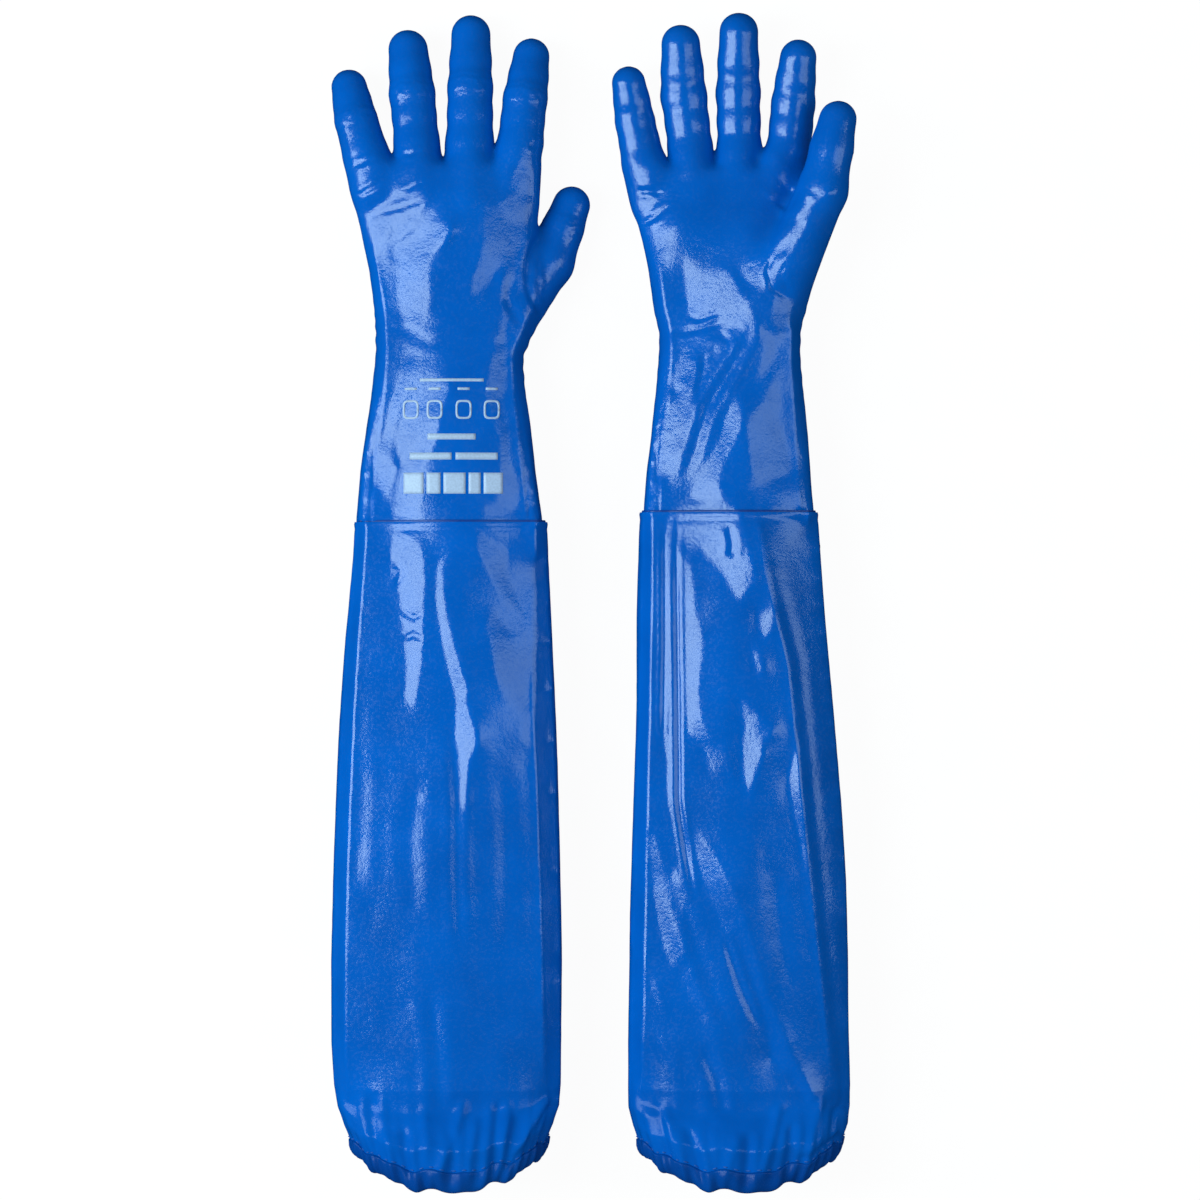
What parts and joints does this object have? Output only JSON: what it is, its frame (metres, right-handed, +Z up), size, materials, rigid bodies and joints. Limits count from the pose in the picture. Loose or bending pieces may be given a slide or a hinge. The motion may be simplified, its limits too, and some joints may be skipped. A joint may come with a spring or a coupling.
{
  "type": "cryogenic gloves",
  "caption": "Pair of long insulated protective gloves with a coated hand and gauntlet, a lap-joined extension sleeve and an elasticated hem, laid flat side by side.",
  "frame": {"origin": "middle of the pair's footprint on the surface they lie on", "axes": "+Z up from that surface, +Y toward the fingertips along the gloves, +X from the left-hand glove to the right-hand glove"},
  "size_m": [0.2902, 0.6502, 0.0745],
  "materials": {
    "glove": "semi-gloss, fine grain",
    "sleeve": "semi-gloss, fine grain",
    "lap_band": "satin",
    "liner": "brushed knit",
    "elastic": "woven",
    "thread": "matt thread"
  },
  "bodies": {
    "left_forearm": {"left_forearm_sleeve": "sleeve", "left_lap_band": "lap_band", "left_gauntlet_shell": "glove", "left_gauntlet_liner": "liner"},
    "left_hand": {"left_hand_shell": "glove", "left_hand_liner": "liner"},
    "left_upper_arm": {"left_upper_sleeve": "sleeve", "left_hem_casing": "sleeve", "left_hem_elastic": "elastic", "left_hem_stitching": "thread"},
    "left_thumb_base": {"left_thumb_base_shell": "glove", "left_thumb_base_liner": "liner"},
    "left_thumb_tip": {"left_thumb_tip_shell": "glove", "left_thumb_tip_liner": "liner"},
    "left_index_base": {"left_index_base_shell": "glove", "left_index_base_liner": "liner"},
    "left_index_tip": {"left_index_tip_shell": "glove", "left_index_tip_liner": "liner"},
    "left_middle_base": {"left_middle_base_shell": "glove", "left_middle_base_liner": "liner"},
    "left_middle_tip": {"left_middle_tip_shell": "glove", "left_middle_tip_liner": "liner"},
    "left_ring_base": {"left_ring_base_shell": "glove", "left_ring_base_liner": "liner"},
    "left_ring_tip": {"left_ring_tip_shell": "glove", "left_ring_tip_liner": "liner"},
    "left_little_base": {"left_little_base_shell": "glove", "left_little_base_liner": "liner"},
    "left_little_tip": {"left_little_tip_shell": "glove", "left_little_tip_liner": "liner"},
    "right_forearm": {"right_forearm_sleeve": "sleeve", "right_lap_band": "lap_band", "right_gauntlet_shell": "glove", "right_gauntlet_liner": "liner"},
    "right_hand": {"right_hand_shell": "glove", "right_hand_liner": "liner"},
    "right_upper_arm": {"right_upper_sleeve": "sleeve", "right_hem_casing": "sleeve", "right_hem_elastic": "elastic", "right_hem_stitching": "thread"},
    "right_thumb_base": {"right_thumb_base_shell": "glove", "right_thumb_base_liner": "liner"},
    "right_thumb_tip": {"right_thumb_tip_shell": "glove", "right_thumb_tip_liner": "liner"},
    "right_index_base": {"right_index_base_shell": "glove", "right_index_base_liner": "liner"},
    "right_index_tip": {"right_index_tip_shell": "glove", "right_index_tip_liner": "liner"},
    "right_middle_base": {"right_middle_base_shell": "glove", "right_middle_base_liner": "liner"},
    "right_middle_tip": {"right_middle_tip_shell": "glove", "right_middle_tip_liner": "liner"},
    "right_ring_base": {"right_ring_base_shell": "glove", "right_ring_base_liner": "liner"},
    "right_ring_tip": {"right_ring_tip_shell": "glove", "right_ring_tip_liner": "liner"},
    "right_little_base": {"right_little_base_shell": "glove", "right_little_base_liner": "liner"},
    "right_little_tip": {"right_little_tip_shell": "glove", "right_little_tip_liner": "liner"}
  },
  "joints": [
    {"name": "left_wrist_bend", "type": "hinge", "parent": "left_forearm", "child": "left_hand", "pos_m": [-0.07931, 0.13671, 0.0258], "axis": [1, 0, 0], "range_deg": [-35, 35], "stiffness_Nm_per_rad": 2},
    {"name": "left_elbow_fold", "type": "hinge", "parent": "left_forearm", "child": "left_upper_arm", "pos_m": [-0.08031, -0.11519, 0.05], "axis": [-1, 0, 0], "range_deg": [0, 75], "stiffness_Nm_per_rad": 0.5},
    {"name": "left_thumb_knuckle", "type": "hinge", "parent": "left_hand", "child": "left_thumb_base", "pos_m": [-0.02378, 0.18755, 0.00804], "axis": [-0.9335, 0.3587, 0], "range_deg": [0, 40], "stiffness_Nm_per_rad": 0.12},
    {"name": "left_thumb_middle_bend", "type": "hinge", "parent": "left_thumb_base", "child": "left_thumb_tip", "pos_m": [-0.01649, 0.20652, 0.00807], "axis": [-0.9356, 0.3531, 0], "range_deg": [0, 50], "stiffness_Nm_per_rad": 0.08},
    {"name": "left_index_knuckle", "type": "hinge", "parent": "left_hand", "child": "left_index_base", "pos_m": [-0.03987, 0.25318, 0.01958], "axis": [-0.9947, 0.1023, 0], "range_deg": [0, 65], "stiffness_Nm_per_rad": 0.12},
    {"name": "left_index_middle_bend", "type": "hinge", "parent": "left_index_base", "child": "left_index_tip", "pos_m": [-0.03744, 0.27697, 0.01744], "axis": [-0.9932, 0.1162, 0], "range_deg": [0, 70], "stiffness_Nm_per_rad": 0.08},
    {"name": "left_middle_knuckle", "type": "hinge", "parent": "left_hand", "child": "left_middle_base", "pos_m": [-0.06822, 0.25425, 0.01969], "axis": [-0.9999, 0.0102, 0], "range_deg": [0, 65], "stiffness_Nm_per_rad": 0.12},
    {"name": "left_middle_middle_bend", "type": "hinge", "parent": "left_middle_base", "child": "left_middle_tip", "pos_m": [-0.06792, 0.28312, 0.01689], "axis": [-1, 0.0076, 0], "range_deg": [0, 70], "stiffness_Nm_per_rad": 0.08},
    {"name": "left_ring_knuckle", "type": "hinge", "parent": "left_hand", "child": "left_ring_base", "pos_m": [-0.09755, 0.25423, 0.01959], "axis": [-0.9946, -0.1041, 0], "range_deg": [0, 65], "stiffness_Nm_per_rad": 0.12},
    {"name": "left_ring_middle_bend", "type": "hinge", "parent": "left_ring_base", "child": "left_ring_tip", "pos_m": [-0.10021, 0.27954, 0.01686], "axis": [-0.9951, -0.0984, 0], "range_deg": [0, 70], "stiffness_Nm_per_rad": 0.08},
    {"name": "left_little_knuckle", "type": "hinge", "parent": "left_hand", "child": "left_little_base", "pos_m": [-0.12607, 0.24771, 0.01903], "axis": [-0.9621, -0.2726, 0], "range_deg": [0, 65], "stiffness_Nm_per_rad": 0.12},
    {"name": "left_little_middle_bend", "type": "hinge", "parent": "left_little_base", "child": "left_little_tip", "pos_m": [-0.13105, 0.26518, 0.01763], "axis": [-0.9691, -0.2466, 0], "range_deg": [0, 70], "stiffness_Nm_per_rad": 0.08},
    {"name": "right_wrist_bend", "type": "hinge", "parent": "right_forearm", "child": "right_hand", "pos_m": [0.07589, 0.13671, 0.0248], "axis": [1, 0, 0], "range_deg": [-35, 35], "stiffness_Nm_per_rad": 2},
    {"name": "right_elbow_fold", "type": "hinge", "parent": "right_forearm", "child": "right_upper_arm", "pos_m": [0.07989, -0.11519, 0.05], "axis": [-1, 0, 0], "range_deg": [0, 75], "stiffness_Nm_per_rad": 0.5},
    {"name": "right_thumb_knuckle", "type": "hinge", "parent": "right_hand", "child": "right_thumb_base", "pos_m": [0.12743, 0.22576, 0.05035], "axis": [0.9756, -0.2197, 0], "range_deg": [0, 40], "stiffness_Nm_per_rad": 0.12},
    {"name": "right_thumb_middle_bend", "type": "hinge", "parent": "right_thumb_base", "child": "right_thumb_tip", "pos_m": [0.13248, 0.24816, 0.05064], "axis": [0.9791, -0.2036, 0], "range_deg": [0, 50], "stiffness_Nm_per_rad": 0.08},
    {"name": "right_index_knuckle", "type": "hinge", "parent": "right_hand", "child": "right_index_base", "pos_m": [0.10847, 0.24961, 0.02482], "axis": [0.9963, -0.086, 0], "range_deg": [0, 65], "stiffness_Nm_per_rad": 0.12},
    {"name": "right_index_middle_bend", "type": "hinge", "parent": "right_index_base", "child": "right_index_tip", "pos_m": [0.11062, 0.27466, 0.0256], "axis": [0.9955, -0.0948, 0], "range_deg": [0, 70], "stiffness_Nm_per_rad": 0.08},
    {"name": "right_middle_knuckle", "type": "hinge", "parent": "right_hand", "child": "right_middle_base", "pos_m": [0.08149, 0.25024, 0.02482], "axis": [0.9998, 0.0194, 0], "range_deg": [0, 65], "stiffness_Nm_per_rad": 0.12},
    {"name": "right_middle_middle_bend", "type": "hinge", "parent": "right_middle_base", "child": "right_middle_tip", "pos_m": [0.08089, 0.28073, 0.02579], "axis": [1, 0.0064, 0], "range_deg": [0, 70], "stiffness_Nm_per_rad": 0.08},
    {"name": "right_ring_knuckle", "type": "hinge", "parent": "right_hand", "child": "right_ring_base", "pos_m": [0.05421, 0.25072, 0.025], "axis": [0.9924, 0.1232, 0], "range_deg": [0, 65], "stiffness_Nm_per_rad": 0.12},
    {"name": "right_ring_middle_bend", "type": "hinge", "parent": "right_ring_base", "child": "right_ring_tip", "pos_m": [0.05075, 0.27849, 0.02596], "axis": [0.9955, 0.0951, 0], "range_deg": [0, 70], "stiffness_Nm_per_rad": 0.08},
    {"name": "right_little_knuckle", "type": "hinge", "parent": "right_hand", "child": "right_little_base", "pos_m": [0.02813, 0.24413, 0.02473], "axis": [0.9782, 0.2076, 0], "range_deg": [0, 65], "stiffness_Nm_per_rad": 0.12},
    {"name": "right_little_middle_bend", "type": "hinge", "parent": "right_little_base", "child": "right_little_tip", "pos_m": [0.0237, 0.26492, 0.02513], "axis": [0.9819, 0.1895, 0], "range_deg": [0, 70], "stiffness_Nm_per_rad": 0.08},
    {"name": "right_glove_lift", "type": "slide", "parent": "left_forearm", "child": "right_forearm", "axis": [0, 0, 1], "range_m": [0, 0.15]}
  ],
  "couplings": [
    {"joint": "left_thumb_middle_bend", "follows": "left_thumb_knuckle", "ratio": 1.25},
    {"joint": "left_index_middle_bend", "follows": "left_index_knuckle", "ratio": 1.0769},
    {"joint": "left_middle_middle_bend", "follows": "left_middle_knuckle", "ratio": 1.0769},
    {"joint": "left_ring_middle_bend", "follows": "left_ring_knuckle", "ratio": 1.0769},
    {"joint": "left_little_middle_bend", "follows": "left_little_knuckle", "ratio": 1.0769},
    {"joint": "right_thumb_middle_bend", "follows": "right_thumb_knuckle", "ratio": 1.25},
    {"joint": "right_index_middle_bend", "follows": "right_index_knuckle", "ratio": 1.0769},
    {"joint": "right_middle_middle_bend", "follows": "right_middle_knuckle", "ratio": 1.0769},
    {"joint": "right_ring_middle_bend", "follows": "right_ring_knuckle", "ratio": 1.0769},
    {"joint": "right_little_middle_bend", "follows": "right_little_knuckle", "ratio": 1.0769}
  ]
}
